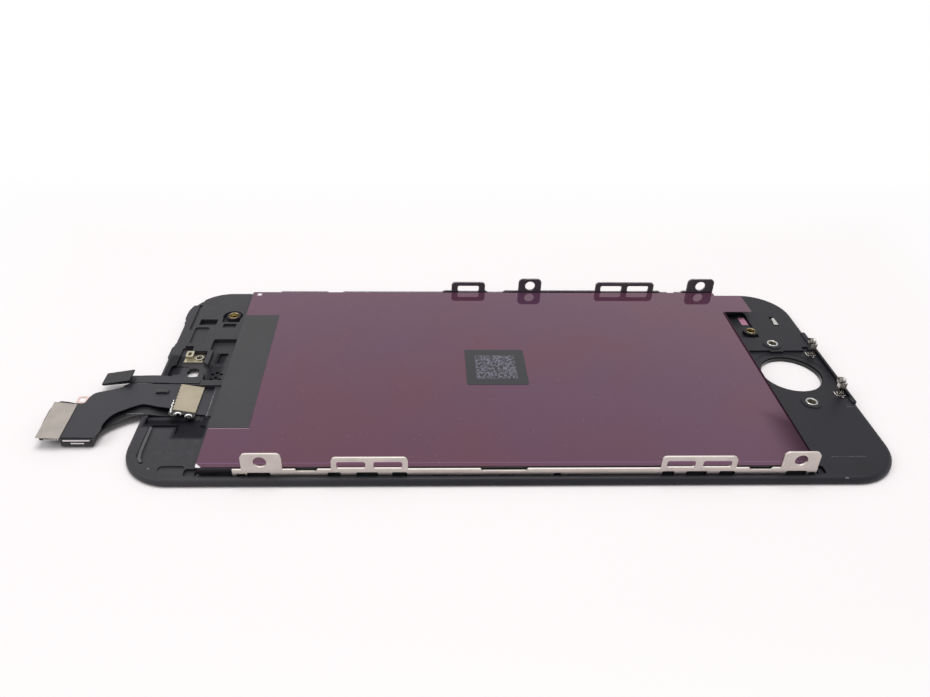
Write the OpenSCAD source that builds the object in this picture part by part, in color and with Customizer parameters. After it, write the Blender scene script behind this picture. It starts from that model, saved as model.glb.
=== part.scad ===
// Screen assembly for a four inch phone, lying on its cover glass with its back up.
// The front of the glass is z = 0. +X runs to the button end and +Y to the far rail.

/* [Display stack] */
// Length of the display's back, along X
lcd_len = 95.2; // [90:0.1:100]
// Width of the display's back, along Y
lcd_wid = 53.1; // [50:0.1:58]
// Thickness of the cover glass
glass_t = 0.7; // [0.5:0.05:0.8]
// Thickness of the clear adhesive behind the glass
optical_t = 0.15; // [0.1:0.01:0.25]
// Thickness of each polarizer
polarizer_t = 0.12; // [0.08:0.01:0.15]
// Thickness of each of the two panel glasses
panel_t = 0.2; // [0.15:0.01:0.3]
// Thickness of each optical sheet in the backlight
sheet_t = 0.12; // [0.06:0.01:0.16]
// Thickness of the light guide
guide_t = 0.5; // [0.35:0.05:0.7]
// Thickness of the backlight's steel tray
tray_t = 0.23; // [0.15:0.01:0.3]
// Thickness of the protective film
film_t = 0.08; // [0.05:0.01:0.12]
// Width of the ledge that carries the driver chip
ledge_len = 3.4; // [2.8:0.1:4.5]
// Length of the black tape over the driver end
tape_len = 6.6; // [5:0.1:9]
// Width of the black tape
tape_wid = 34.6; // [25:0.5:44]
// Side of the square centre label
label_side = 10.8; // [8:0.1:14]

/* [Frame] */
// Width of the frame beside the display
side_wid = 1.55; // [1.5:0.05:2.5]
// Length of the frame at the earpiece end
ear_len = 12.15; // [12:0.05:14]
// Length of the frame at the button end
home_len = 14.05; // [13.8:0.05:16]
// Corner radius of the outline
corner_r = 8.1; // [6:0.1:9.5]
// Height of the frame's lip above the face of the glass
lip_h = 1.36; // [1.3:0.02:1.6]
// Height of the raised deck at the earpiece end
ear_deck_h = 1.9; // [1.8:0.02:2.1]
// Thickness of the rim round the glass
rim_t = 0.7; // [0.6:0.05:0.9]
// How far the glass stands out of the rim
glass_proud = 0.15; // [0.05:0.05:0.3]

/* [Button end] */
// Radius of the button hole in the glass
button_r = 5.2; // [4.8:0.05:5.6]
// Distance from the end to the button's centre
button_inset = 7.6; // [7.4:0.05:8]
// Half the distance between the two steel inserts
insert_y = 9.1; // [8.9:0.05:11]
// Outer radius of the steel inserts
insert_r = 1.05; // [1:0.05:1.3]
// Radius of the threaded holes in the inserts
thread_r = 0.6; // [0.45:0.05:0.7]
// Half the distance between the two screw posts
post_y = 6.2; // [6:0.05:6.4]
// Height of a screw post's hole above the glass face
post_hole_h = 3.95; // [3.5:0.05:5]

/* [Rails] */
// Thickness of the rail's sheet metal
rail_t = 0.3; // [0.2:0.02:0.34]
// Height of the rail's strip above the glass face
rail_h = 2.55; // [2.4:0.05:2.8]
// Height of the tabs' tops
tab_h = 5.65; // [5.4:0.05:7]
// Height of the loops' tops
loop_h = 4.85; // [4.6:0.05:6]
// Radius of the screw holes in the tabs
tab_hole_r = 1; // [0.8:0.05:1.1]
// Length of a slot in a loop
slot_len = 4.35; // [3.6:0.05:4.4]

/* [Ribbons] */
// Thickness of the main ribbon
ribbon_t = 0.18; // [0.12:0.01:0.2]
// Thickness of the lower ribbon
lower_ribbon_t = 0.15; // [0.1:0.01:0.16]
// Height of the ribbons' end above the table
block_h = 1.95; // [1.9:0.05:2.2]
// Clearance between the lowest connector and the table
connector_lift = 0.3; // [0.1:0.05:0.6]

/* [Hidden] */
$fn = 48;
EPS = 0.01;

// Outline and display box
frame_len = ear_len + lcd_len + home_len;
frame_wid = lcd_wid + 2 * side_wid;
ear_x = -frame_len / 2;
home_x = frame_len / 2;
lcd_x0 = ear_x + ear_len;
lcd_x1 = lcd_x0 + lcd_len;
lcd_y = lcd_wid / 2;

// Heights of the layers, front to back
adhesive_t = 0.08;
frame_z0 = glass_t + adhesive_t;
z_polarizer = glass_t + optical_t;
z_filter = z_polarizer + polarizer_t;
z_tft = z_filter + panel_t;
z_rear = z_tft + panel_t;
z_prism = z_rear + polarizer_t;
z_diffuser = z_prism + sheet_t;
z_guide = z_diffuser + sheet_t;
z_reflector = z_guide + guide_t;
z_tray = z_reflector + sheet_t;
z_film = z_tray + tray_t;
z_back = z_film + film_t;

// Clearances
glass_gap = 0.1;
lcd_gap = 0.25;
cell_inset = 0.15;
sheet_gap = 0.1;
seat_gap = 0.05;

// Frame section: a rounded outer edge, and a groove that takes the rail's foot
edge_round = [0.8, 0.76];
groove_wid = 0.45;
groove_floor = frame_z0 + 0.1;
side_in = side_wid - 0.1;
groove_out = side_in - groove_wid;
rail_y = frame_wid / 2 - side_in + groove_wid / 2;
groove_end = [10.3, 12.3, -27.0, -25.4];

// Distances from the button end
insert_d = 7.8;
insert_top = lip_h + 0.26;
boss_r = insert_r + 0.65;
boss_top = insert_top - 0.12;
insert_pad = [2.4, 2.9];
recess_floor = frame_z0 + 0.22;
recess_half = 6.9;
recess_end = 0.45;
end_wall = [0.05, 0.9, -9.4, 12.9];
end_wall_top = lip_h + 0.2;
seat_r = button_r + 1.4;
seat_floor = frame_z0 + 0.14;
brass_r = 0.95;
brass_bore_r = 0.7;
brass_cup_r = brass_r + 0.45;
home_groove_end = [12.85, 14.1, -26.9, -25.2];
home_brass = [10.54, 13.3];
home_brass_top = 1.8;
film_pocket = [9.4, 14.4, 11.4, 20.6];
liner_box = [9.6, 11.0, 16.5, 19.4];
liner_t = 0.1;
clip_slot = [3.9, 4.9, 15.5, 19.0];
clip_taper = 0.5;
post_d = 1.5;
post_leg = [0.8, 1.0];
post_barrel_r = 0.62;
post_len = 1.1;
post_overhang = 0.45;
post_bore_r = 0.4;
post_leg_r = 0.15;
post_plate_t = 0.22;
post_bar = [0.35, -1.5, 1.5];
post_pocket = [1.1, 1.9];

// Distances from the earpiece end
deck_step = 2.65;
deck_groove = [1.8, 2.65, 14, 23.3];
deck_groove_floor = lip_h - 0.3;
end_inset = 0.45;
end_inset_y = [9.4, 17.3];
ear_ridges = [[0.05, 2.2, 3.9, 8.5], [0.05, 2.2, 17.4, 23.2]];
ear_ridge_r = 0.9;
ear_brass = [9.6, 18.45];
ear_brass_top = 2.0;
ear_brass_r = 1.05;
ear_brass_bore_r = 0.8;
ear_cup_r = ear_brass_r + 0.25;
ear_brass_pocket = [9.45, 18.2, 1.9];
ear_brass_recess = [7.7, 11.1, 15.95, 18.2];
ear_slot = [3.5, 6.8, 14.9, 17.0];
ear_box = [8.2, 10.7, 14.0, 15.4];
ear_seat = [3.1, 5.8, 8.4, 14.1];
ear_seat_floor = ear_deck_h - 0.35;
contact_pocket = [2.2, 7.2, 1.7, 5.95];
contact_pocket_wing = [2.2, 4.3, 5.0, 7.6];
contact_floor = frame_z0 + 0.22;
low_deck = [8.1, 12.3, -3.2, 9.9];
low_deck_wing = [7.5, 9.0, 6.2, 9.9];
low_deck_floor = ear_deck_h - 0.82;
pit_floor = frame_z0 + EPS;
chip_pocket = [9.3, 10.9, 3.1, 6.2];
hole_row = [8.9, 11.1, -2.2, 1.6];
pip_r = 0.32;
sound_hole_d = 5.6;
sound_hole_r = 1.1;
sound_hole_y = [-1.9, 1.5];
sound_pocket = [6.1, 0.1, 2.4];
sound_pocket_floor = 1.12;
sound_side = [1.5, 4.8, -1.6, 2.2];
sound_side_r = 0.9;
ear_slit_d = 5.5;
ear_slit_r = 1.0;
ear_slit_half = 5.3;
slit_clear = ear_slit_r + 0.6;
deck_near_y = -12.9;
socket_size = [4.3, 7.9, 0.1];
socket_margin = [0.25, 0.1, 0.8];
socket_pad_t = 0.12;
socket_pad_slant = 0.2;
socket_x = 0.3;
socket_y = -12.65;
socket_y1 = socket_y + socket_size[1];
socket_pad = [
    socket_x + socket_margin[0], socket_x + socket_size[0] - socket_margin[1],
    socket_y + socket_margin[2], socket_y1 - socket_margin[1]
];
flex_pocket = [4.2, 10.7, deck_near_y, socket_y1 + seat_gap];
shade_pocket = [6.6, 10.4, -17.0, -12.6];
flex_step = [1.2, 7.0, -14.7, -6.2];
flex_tunnel_h = z_tft + 0.1;
flex_bar_h = 1.6;
tunnel_y = [-13.6, socket_y1 + 0.25];
bar_y = [-16, flex_pocket[3]];
corner_floor = lip_h - 0.2;
corner_pocket = [2.1, 11.4, -24.2, -15.0];
corner_pocket_r = 0.8;
corner_wall = 1.6;
scoop = [6.2, 10.2, 1.7];
scoop_y = -24.75;
scoop_depth = 0.25;

// Rail features, [start, end]. A name that starts with ear_ counts from the display's earpiece end,
// and every other one from its button end.
function from_ear(list) = [for (f = list) [lcd_len - f[1], lcd_len - f[0]]];
function cuts_from_ear(list) = [for (f = list) [lcd_len - f[1], lcd_len - f[0], f[2]]];
rail_ends = [5.7, 0.6];
corner_tab_r = 0.9;
loop_r = 0.75;
slot_h = 1.3;
slot_web = 1.2;
slot_r = 0.35;
slot_drop = 0.8;
hole_drop = tab_h - 4.06;
ear_tab = [7.1, 13.25, 10.0];
near_tabs = [[lcd_len - ear_tab[1], lcd_len - ear_tab[0], lcd_len - ear_tab[2]], [0.65, 6.3, 3.5]];
near_loops = concat(from_ear([[20.55, 32.1]]), [[13.2, 24.75]]);
far_tabs = [[36.0, 40.7, 38.3], [0.1, 5.6, 2.85]];
far_singles = from_ear([[40.7, 47.6]]);
far_loops = [[12.6, 24.7]];
far_steps = concat(from_ear([[38.7, 48.3]]), [[10.9, 44.0], [0.1, 6.9]]);
step_rise = 0.35;
step_slope = 0.6;
deep_cut = 0.55;
mid_cut = 0.8;
low_cut = 1.12;
ear_cut_list = [
    [6.3, 7.7, mid_cut], [7.9, 11.4, deep_cut], [20.0, 22.0, deep_cut], [24.3, 27.6, deep_cut],
    [29.7, 32.0, deep_cut], [35.8, 38.2, low_cut], [40.3, 43.3, low_cut], [45.8, 48.3, low_cut]
];
home_cut_list = [
    [41.4, 44.4, low_cut], [39.8, 41.0, mid_cut], [35.1, 38.9, low_cut], [22.5, 24.4, deep_cut],
    [17.5, 20.7, deep_cut], [13.2, 15.6, deep_cut], [7.4, 9.2, low_cut], [2.1, 5.3, deep_cut],
    [0.8, 1.8, mid_cut]
];
rail_cuts = concat(cuts_from_ear(ear_cut_list), home_cut_list);
cut_r = 0.25;
near_dips = concat(from_ear([[15.1, 18.5], [43.1, 50.3]]), [[7.4, 11.1]]);
far_dips = concat(from_ear([[15.1, 18.5]]), [[8.0, 9.6]]);
dip_h = 0.3;
dip_slope = 0.35;

// Tab of the film, past the display's button end
film_tab = [5.5, 6.3];
film_tab_y1 = lcd_y - 1.4;
film_tab_slant = 0.15;
film_tab_lap = 1;
film_inset = 0.1;
film_clip = 1.1;

// Ribbon routes: [near x, near y, far x, far y, underside], counted from the earpiece end
dive_d = [4.4, 9.3];
deck_rest = ear_deck_h + 0.04;
ribbon_y1 = socket_y1 - 0.05;
function dive_z(d) =
    ear_deck_h - (ear_deck_h - z_tft + ribbon_t) * (d - dive_d[0]) / (dive_d[1] - dive_d[0]);
main_route = [
    [13.1, -12.1, 13.1, ribbon_y1 - 0.1, z_tft - ribbon_t], [9.9, -12.0, 9.9, ribbon_y1, z_tft - ribbon_t],
    for (d = [8.7, 6.8, 4.9]) [d, -10.7 - 0.13 * d, d, ribbon_y1, dive_z(d)],
    [3.8, -11.2, 3.8, ribbon_y1 + 0.06, deck_rest], [2.4, -10.9, 2.4, ribbon_y1 + 0.1, deck_rest],
    [0, -10.3, 0, ribbon_y1 + 0.2, deck_rest], [-1.6, -11.0, -2.4, ribbon_y1 + 0.25, deck_rest],
    [-2.9, -11.9, -3.9, ribbon_y1 + 0.25, block_h - 0.01], [-3.7, -12.5, -4.7, -5.0, block_h],
    [-4.2, -13.1, -4.95, -5.6, block_h], [-4.6, -13.8, -6.8, -6.4, block_h],
    [-4.9, -14.7, -8.9, -7.2, block_h], [-5.05, -15.4, -9.6, -8.5, block_h],
    [-5.1, -16.1, -10.3, -10.2, block_h], [-5.0, -17.0, -14.7, -10.0, block_h],
    [-5.4, -18.9, -14.45, -18.8, block_h]
];
lower_top = block_h - 0.65;
lower_z = lower_top - lower_ribbon_t;
lower_route = [
    [8.4, -11.4, 8.4, -6.6, groove_floor + 0.04], [7.4, -11.7, 7.4, -6.5, groove_floor + 0.05],
    [4.4, -12.2, 4.4, -6.5, groove_floor + 0.05], [2.6, -12.3, 2.6, -6.5, groove_floor + 0.25],
    [1.2, -12.35, 1.2, -6.55, lip_h], [0, -12.4, 0, -6.6, lip_h + 0.02],
    [-0.9, -12.65, -1.6, -7.0, lip_h], [-2.5, -13.5, -4.4, -7.8, lower_z + 0.08],
    [-4.2, -14.9, -6.8, -9.2, lower_z], [-5.2, -16.4, -9.6, -11.5, lower_z],
    [-5.6, -18.4, -10.3, -18.4, lower_z]
];
strip_y = socket_y1 + 0.45;
strip_route = [
    [7.9, strip_y, 7.9, strip_y + 0.9, ear_deck_h], [4.4, strip_y, 4.4, strip_y + 1.6, ear_deck_h],
    [0.8, strip_y + 0.15, 0.8, strip_y + 2.3, ear_deck_h],
    [-3.9, strip_y + 0.2, -3.9, strip_y + 2.3, ear_deck_h - 0.04],
    [-8.5, strip_y - 0.4, -8.5, strip_y + 2.4, ear_deck_h - 0.1]
];
strip_t = 0.15;
smooth_steps = 4;
flap_size = [4.9, 3.2, 0.3];
flap_tilt = 9.8;
flap_root = [-8.6, strip_y - 0.55];
socket_tilt = atan((ear_deck_h - z_tft + ribbon_t) / (dive_d[1] - dive_d[0]));
socket_lift = 0.05;
blob_r = 0.42;
blob_x = [1.4, 3.0];
plate_corners = [[-10.85, -10.5], [-14.85, -9.8], [-14.5, -19.0], [-10.7, -19.25]];
plate_t = 0.12;
plate_connector = [-14.3, -11.6, -18.5, -10.6];
display_connector = [-10.7, -5.6, -19.0, -12.2];
touch_connector = [-10.9, -5.8, -18.9, -12.6];
bar_long = [-10.3, -6.1];
bar_short = [-9.2, -7.1];
bar_t = 0.12;
plate_connector_h = 0.7;
connector_gap = 0.02;
copper_tab = [-11.5, -9.5, -9.8, -7.9];
copper_t = 0.1;

// Lamps of the backlight: depth of the strip, each lamp's size, and how many
led_depth = 1.5;
led_base_t = 0.12;
lamp = [1.0, 3.0];
lamps = 6;
lamp_margin = 6;
driver_chip_size = [1.1, 16, 0.2];
driver_chip_d = 1.6;

// Contact assembly at the earpiece end, and the bead of glue in the near corner
contact_base = [3.25, 6.65, 3.15, 5.9];
contact_base_t = 0.15;
contact_lug = [3.45, 4.8, 4.05, 5.85];
contact_lug_h = 0.77;
contact_lug_wall = 0.38;
contact_flange = [0.3, 0.28];
eyelet = [5.9, 4.4, 0.78, 0.52];
eyelet_h = 0.3;
bead_r = 0.24;
bead_h = 0.33;
bead_path = [[2.55, -15.7], [2.55, -21.6], [2.78, -23.2], [3.15, -23.75]];
tape_t = 0.05;
label_t = 0.04;
label_shift = -0.3;

// Plain and round-cornered flat shapes between two corners
module flat_box(x0, x1, y0, y1) {
    translate([x0, y0]) square([x1 - x0, y1 - y0]);
}

module round_box(x0, x1, y0, y1, r) {
    flat_box(x0 + r, x1 - r, y0, y1);
    flat_box(x0, x1, y0 + r, y1 - r);
    for (x = [x0 + r, x1 - r], y = [y0 + r, y1 - r]) translate([x, y]) circle(r);
}

module layer(z0, z1) {
    translate([0, 0, z0]) linear_extrude(z1 - z0) children();
}

// A sheet of the display's outline, drawn in by an inset all round
module display_sheet(z0, t, inset, skip = 0, corner = 0.3) {
    layer(z0, z0 + t)
        round_box(lcd_x0 + inset + skip, lcd_x1 - inset, -lcd_y + inset, lcd_y - inset, corner);
}

// Boxes given as [distance 0, distance 1, y0, y1] from either end of the frame
module ear_region(b, r = 0.25) {
    round_box(ear_x + b[0], ear_x + b[1], b[2], b[3], r);
}

module home_region(b, r = 0.25) {
    round_box(home_x - b[1], home_x - b[0], b[2], b[3], r);
}

// Ring, boss or tube round an upright axis
module tube(x, y, z0, z1, r, bore) {
    translate([x, y, z0]) difference() {
        cylinder(r = r, h = z1 - z0);
        translate([0, 0, -EPS]) cylinder(r = bore, h = z1 - z0 + 2 * EPS);
    }
}

// The frame's section, x inwards from the outline (negative), swept round the rounded outline
function edge_points(n) = [
    for (i = [0:n])
        [-edge_round[0] * (1 - cos(90 * i / n)), lip_h - edge_round[1] * (1 - sin(90 * i / n))]
];

module frame_section() {
    polygon(concat(
        [[-rim_t, glass_proud], [-0.15, glass_proud], [0, glass_proud + 0.15]],
        edge_points(6),
        [
            [-groove_out, lip_h], [-groove_out, groove_floor], [-side_in, groove_floor],
            [-side_in, frame_z0], [-rim_t, frame_z0]
        ]
    ));
}

module sweep_outline() {
    straight_x = frame_len - 2 * corner_r;
    straight_y = frame_wid - 2 * corner_r;
    for (turn = [0, 180]) rotate([0, 0, turn]) {
        translate([straight_x / 2, -frame_wid / 2, 0]) rotate([90, 0, -90])
            linear_extrude(straight_x) children();
        translate([frame_len / 2, straight_y / 2, 0]) rotate([90, 0, 0])
            linear_extrude(straight_y) children();
        for (corner = [-1, 1]) translate([straight_x / 2, corner * straight_y / 2, 0])
            rotate([0, 0, corner < 0 ? -90 : 0]) rotate_extrude(angle = 90)
                translate([corner_r, 0]) children();
    }
}

// The frame's outline, drawn in by an inset
module outline(inset) {
    round_box(ear_x + inset, home_x - inset, -frame_wid / 2 + inset, frame_wid / 2 - inset,
        corner_r - inset);
}

module cover_glass() {
    inset = rim_t + glass_gap;
    color([0.05, 0.05, 0.06]) difference() {
        layer(0, glass_t) outline(inset);
        translate([home_x - button_inset, 0, -EPS]) cylinder(r = button_r, h = glass_t + 2 * EPS);
        layer(-EPS, glass_t + EPS) round_box(ear_x + ear_slit_d - ear_slit_r,
            ear_x + ear_slit_d + ear_slit_r, -ear_slit_half, ear_slit_half, ear_slit_r - EPS);
    }
}

module optical_adhesive() {
    color([0.8, 0.85, 0.85]) display_sheet(glass_t, optical_t, cell_inset + sheet_gap);
}

module front_polarizer() {
    color([0.15, 0.16, 0.18]) display_sheet(z_polarizer, polarizer_t, cell_inset + sheet_gap, ledge_len);
}

module filter_glass() {
    color([0.3, 0.4, 0.4]) display_sheet(z_filter, panel_t, cell_inset, ledge_len);
}

module tft_glass() {
    color([0.5, 0.6, 0.6]) display_sheet(z_tft, panel_t, cell_inset);
}

module driver_chip() {
    color([0.2, 0.2, 0.22])
        translate([lcd_x0 + ledge_len - driver_chip_d, 0.6, z_tft - driver_chip_size[2] / 2])
            cube(driver_chip_size, center = true);
}

module rear_polarizer() {
    color([0.25, 0.25, 0.28]) display_sheet(z_rear, polarizer_t, tray_t + sheet_gap, ledge_len);
}

module prism_sheet() {
    color([0.85, 0.87, 0.9]) display_sheet(z_prism, sheet_t, tray_t + sheet_gap);
}

module diffuser_sheet() {
    color([0.95, 0.95, 0.95]) display_sheet(z_diffuser, sheet_t, tray_t + sheet_gap);
}

// The guide stops short of the button end, where the row of lamps shines into it
module light_guide() {
    color([0.9, 0.95, 1]) intersection() {
        display_sheet(z_guide, guide_t, tray_t + sheet_gap);
        layer(z_guide, z_tray) flat_box(lcd_x0, lcd_x1 - tray_t - sheet_gap - led_depth, -lcd_y, lcd_y);
    }
}

module led_strip() {
    pitch = (lcd_wid - 2 * lamp_margin) / (lamps - 1);
    base = lcd_x1 - tray_t - sheet_gap;
    color([0.95, 0.9, 0.6]) {
        layer(z_reflector - led_base_t, z_reflector)
            flat_box(base - led_depth + 0.2, base, -lcd_y + 2, lcd_y - 2);
        for (i = [0:lamps - 1]) layer(z_guide + 0.04, z_reflector - led_base_t)
            translate([base - 0.15 - lamp[0], (i - (lamps - 1) / 2) * pitch - lamp[1] / 2]) square(lamp);
    }
}

module reflector_sheet() {
    color([0.92, 0.92, 0.9]) display_sheet(z_reflector, sheet_t, tray_t + sheet_gap);
}

// Corner of a sheet at the near earpiece end, cut off at 45 degrees
module clipped_corner(size) {
    translate([lcd_x0, -lcd_y]) polygon([[-1, -1], [size, -1], [size, 0], [0, size], [-1, size]]);
}

module backlight_tray() {
    color([0.75, 0.75, 0.77]) difference() {
        display_sheet(z_rear, z_film - z_rear, 0, 0, 0.5);
        translate([0, 0, -EPS]) display_sheet(z_rear, z_tray - z_rear + EPS, tray_t);
    }
}

module protective_film() {
    color([0.46, 0.35, 0.4]) layer(z_film, z_back) difference() {
        union() {
            round_box(lcd_x0 + film_inset, lcd_x1 - film_inset, -lcd_y + film_inset, lcd_y - film_inset, 0.3);
            translate([lcd_x1, film_tab_y1]) polygon([
                [-film_tab_lap, -film_tab[1]], [film_tab[0], -film_tab[1]],
                [film_tab[0] - film_tab_slant, 0], [-film_tab_lap, 0]
            ]);
        }
        clipped_corner(film_clip);
    }
}

module driver_tape() {
    color([0.28, 0.29, 0.3]) layer(z_back, z_back + tape_t)
        round_box(lcd_x0, lcd_x0 + tape_len, -tape_wid / 2, tape_wid / 2, 0.1);
}

module center_label() {
    half = label_side / 2;
    mid = (lcd_x0 + lcd_x1) / 2;
    color([0.12, 0.13, 0.16]) layer(z_back, z_back + label_t)
        round_box(mid - half, mid + half, label_shift - half, label_shift + half, 0.5);
}

// What the frame's floor covers: both ends, out to the rim
module frame_ends(inset) {
    difference() {
        outline(inset);
        flat_box(lcd_x0 - lcd_gap, lcd_x1 + lcd_gap, -frame_wid, frame_wid);
    }
}

module frame_adhesive() {
    inset = rim_t + glass_gap + 0.1;
    color([0.1, 0.1, 0.1]) layer(glass_t, frame_z0) difference() {
        outline(inset);
        round_box(lcd_x0 - lcd_gap, lcd_x1 + lcd_gap, -frame_wid / 2 + side_wid, frame_wid / 2 - side_wid, 0.3);
        translate([home_x - button_inset, 0]) circle(seat_r);
        round_box(ear_x + ear_slit_d - slit_clear, ear_x + ear_slit_d + slit_clear,
            -ear_slit_half - 0.7, ear_slit_half + 0.7, slit_clear - 0.1);
    }
}

// Everything that stands: swept lip, end floors, raised deck, bosses
module frame_solid() {
    sweep_outline() frame_section();
    layer(frame_z0, lip_h) frame_ends(edge_round[0]);
    layer(lip_h - EPS, ear_deck_h) intersection() {
        frame_ends(side_wid - 0.45);
        flat_box(ear_x + deck_step, 0, deck_near_y, frame_wid / 2);
    }
    layer(frame_z0, lip_h) intersection() {
        outline(ear_ridges[0][0]);
        for (b = ear_ridges) ear_region(b, ear_ridge_r);
    }
    for (y = [-insert_y, insert_y]) translate([home_x - insert_d, y, frame_z0])
        cylinder(r = boss_r, h = boss_top - frame_z0);
    layer(frame_z0, lip_h)
        translate([home_x - insert_d - insert_pad[0] / 2, insert_y - insert_pad[1] - boss_r * 0.4])
            square(insert_pad);
    translate([home_x - home_brass[0], home_brass[1], frame_z0])
        cylinder(r = brass_cup_r, h = home_brass_top - 0.1 - frame_z0);
    layer(frame_z0, end_wall_top) home_region(end_wall);
}

module ear_cut(b, floor_h, r = 0.25) {
    layer(floor_h, ear_deck_h + 1) ear_region(b, r);
}

module home_cut(b, floor_h, r = 0.25) {
    layer(floor_h, ear_deck_h + 1) home_region(b, r);
}

// Seats, pockets and holes at the earpiece end
module ear_cuts() {
    ear_cut(ear_slot, frame_z0 + 0.1, 0.15);
    ear_cut(ear_box, lip_h, 0.15);
    ear_cut(ear_seat, ear_seat_floor, 0.5);
    ear_cut(contact_pocket, contact_floor, 0.3);
    ear_cut(contact_pocket_wing, contact_floor, 0.3);
    ear_cut(deck_groove, deck_groove_floor, 0.2);
    ear_cut(low_deck, low_deck_floor, 0.4);
    ear_cut(low_deck_wing, low_deck_floor, 0.4);
    ear_cut(chip_pocket, pit_floor, 0.2);
    ear_cut(sound_side, groove_floor, sound_side_r);
    translate([ear_x + sound_pocket[0], sound_pocket[1], sound_pocket_floor])
        cylinder(r = sound_pocket[2], h = 2);
    difference() {
        union() {
            translate([ear_x + ear_brass_pocket[0], ear_brass_pocket[1], contact_floor])
                cylinder(r = ear_brass_pocket[2], h = 2);
            ear_cut(ear_brass_recess, contact_floor, 0.3);
        }
        translate([ear_x + ear_brass[0], ear_brass[1], 0]) cylinder(r = ear_cup_r, h = ear_deck_h);
    }
    ear_cut(flex_pocket, groove_floor, 0.3);
    ear_cut(shade_pocket, groove_floor, 0.3);
    ear_cut(flex_step, groove_floor, 0.3);
    ear_cut(groove_end, groove_floor, 0.4);
    layer(corner_floor, ear_deck_h + 1) intersection() {
        ear_region(corner_pocket, corner_pocket_r);
        outline(corner_wall);
    }
    translate([ear_x + scoop[0], scoop_y, lip_h - scoop_depth]) rotate([-atan(scoop_depth / scoop[2]), 0, 0])
        linear_extrude(1) round_box(0, scoop[1] - scoop[0], -scoop[2], 0, 0.6);
    for (i = [0:2], j = [0:1]) translate([
        ear_x + hole_row[0] + pip_r + i * (hole_row[1] - hole_row[0] - 2 * pip_r) / 2,
        hole_row[2] + pip_r + (j + 0.3 * (i % 2)) * 1.5, pit_floor
    ]) cylinder(r = pip_r, h = 2);
    layer(-EPS, 4) round_box(ear_x + sound_hole_d - sound_hole_r, ear_x + sound_hole_d + sound_hole_r,
        sound_hole_y[0], sound_hole_y[1], sound_hole_r - EPS);
    layer(glass_proud - 1, 4) ear_region([-1, end_inset, end_inset_y[0], end_inset_y[1]], 0.2);
    translate([ear_x + ear_brass[0], ear_brass[1], frame_z0 + 0.1])
        cylinder(r = ear_brass_r + seat_gap, h = 2);
}

// The main ribbon goes under this bar on its way to the display
module ribbon_tunnel() {
    layer(frame_z0 + EPS, flex_tunnel_h)
        flat_box(ear_x + flex_pocket[1] - 1, lcd_x0, tunnel_y[0], tunnel_y[1]);
    layer(flex_bar_h, 4)
        flat_box(ear_x + flex_pocket[1] - 1, lcd_x0, bar_y[0], bar_y[1]);
}

// Recess round the button, pockets and seats at the button end
module home_cuts() {
    difference() {
        union() {
            home_cut([recess_end, home_len, -recess_half, recess_half], recess_floor, 1.2);
            for (y = [-post_y, post_y])
                home_cut([recess_end, post_d + post_pocket[0], y - post_pocket[1], y + post_pocket[1]],
                    recess_floor, 0.3);
        }
        translate([home_x - insert_d - insert_pad[0] / 2, insert_y - insert_pad[1] - boss_r * 0.4, 0])
            cube([insert_pad[0], insert_pad[1], lip_h]);
        for (y = [-insert_y, insert_y]) translate([home_x - insert_d, y, 0]) cylinder(r = boss_r, h = boss_top);
    }
    translate([home_x - button_inset, 0, seat_floor]) cylinder(r = seat_r, h = 4);
    translate([home_x - button_inset, 0, -EPS]) cylinder(r = button_r + 0.15, h = 4);
    difference() {
        home_cut(film_pocket, recess_floor, 0.4);
        translate([home_x - home_brass[0], home_brass[1], 0]) cylinder(r = brass_cup_r, h = home_brass_top);
    }
    home_cut(liner_box, frame_z0 + seat_gap, 0.1);
    home_cut(home_groove_end, groove_floor, 0.3);
    home_cut(clip_slot, frame_z0 + 0.1, 0.2);
    for (y = [-insert_y, insert_y]) translate([home_x - insert_d, y, frame_z0 + 0.1])
        cylinder(r = insert_r + seat_gap, h = 3);
    translate([home_x - home_brass[0], home_brass[1], frame_z0 + 0.1]) cylinder(r = brass_r + seat_gap, h = 3);
}

module moulded_frame() {
    color([0.26, 0.27, 0.29]) difference() {
        frame_solid();
        ear_cuts();
        home_cuts();
        ribbon_tunnel();
    }
}

// Side view of a rail, x along it and y up, measured from the display's button end
module rail_tab(t, top) {
    round_box(lcd_x1 - t[1], lcd_x1 - t[0], rail_h - 1, top, corner_tab_r);
}

module rail_slots(loop, count) {
    reach = count * slot_len + (count - 1) * slot_web;
    start = lcd_x1 - (loop[0] + loop[1] + reach) / 2;
    for (i = [0:count - 1]) translate([start + i * (slot_len + slot_web), loop_h - slot_drop - slot_h])
        round_box(0, slot_len, 0, slot_h, slot_r);
}

module rail_dip(d) {
    translate([lcd_x1, rail_h]) polygon([
        [-d[1], 1], [-d[1], 0], [-d[1] + dip_slope, -dip_h], [-d[0] - dip_slope, -dip_h], [-d[0], 0], [-d[0], 1]
    ]);
}

module rail_step(s) {
    translate([lcd_x1, rail_h]) polygon([
        [-s[1], -dip_h], [-s[0], -dip_h], [-s[0], 0], [-s[0] - step_slope, step_rise],
        [-s[1] + step_slope, step_rise], [-s[1], 0]
    ]);
}

module rail_cut(c) {
    round_box(lcd_x1 - c[1], lcd_x1 - c[0], groove_floor - 1, rail_h - c[2], cut_r);
}

module rail_outline(tabs, doubles, singles, dips, steps, cuts) {
    difference() {
        union() {
            difference() {
                flat_box(lcd_x0 + rail_ends[0], lcd_x1 - rail_ends[1], groove_floor, rail_h);
                for (d = dips) rail_dip(d);
            }
            for (s = steps) rail_step(s);
            for (t = tabs) rail_tab(t, tab_h);
            for (l = concat(doubles, singles))
                round_box(lcd_x1 - l[1], lcd_x1 - l[0], rail_h - 1, loop_h, loop_r);
        }
        for (t = tabs) translate([lcd_x1 - t[2], tab_h - hole_drop]) circle(tab_hole_r);
        for (l = doubles) rail_slots(l, 2);
        for (l = singles) rail_slots(l, 1);
        for (c = cuts) rail_cut(c);
    }
}

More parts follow.
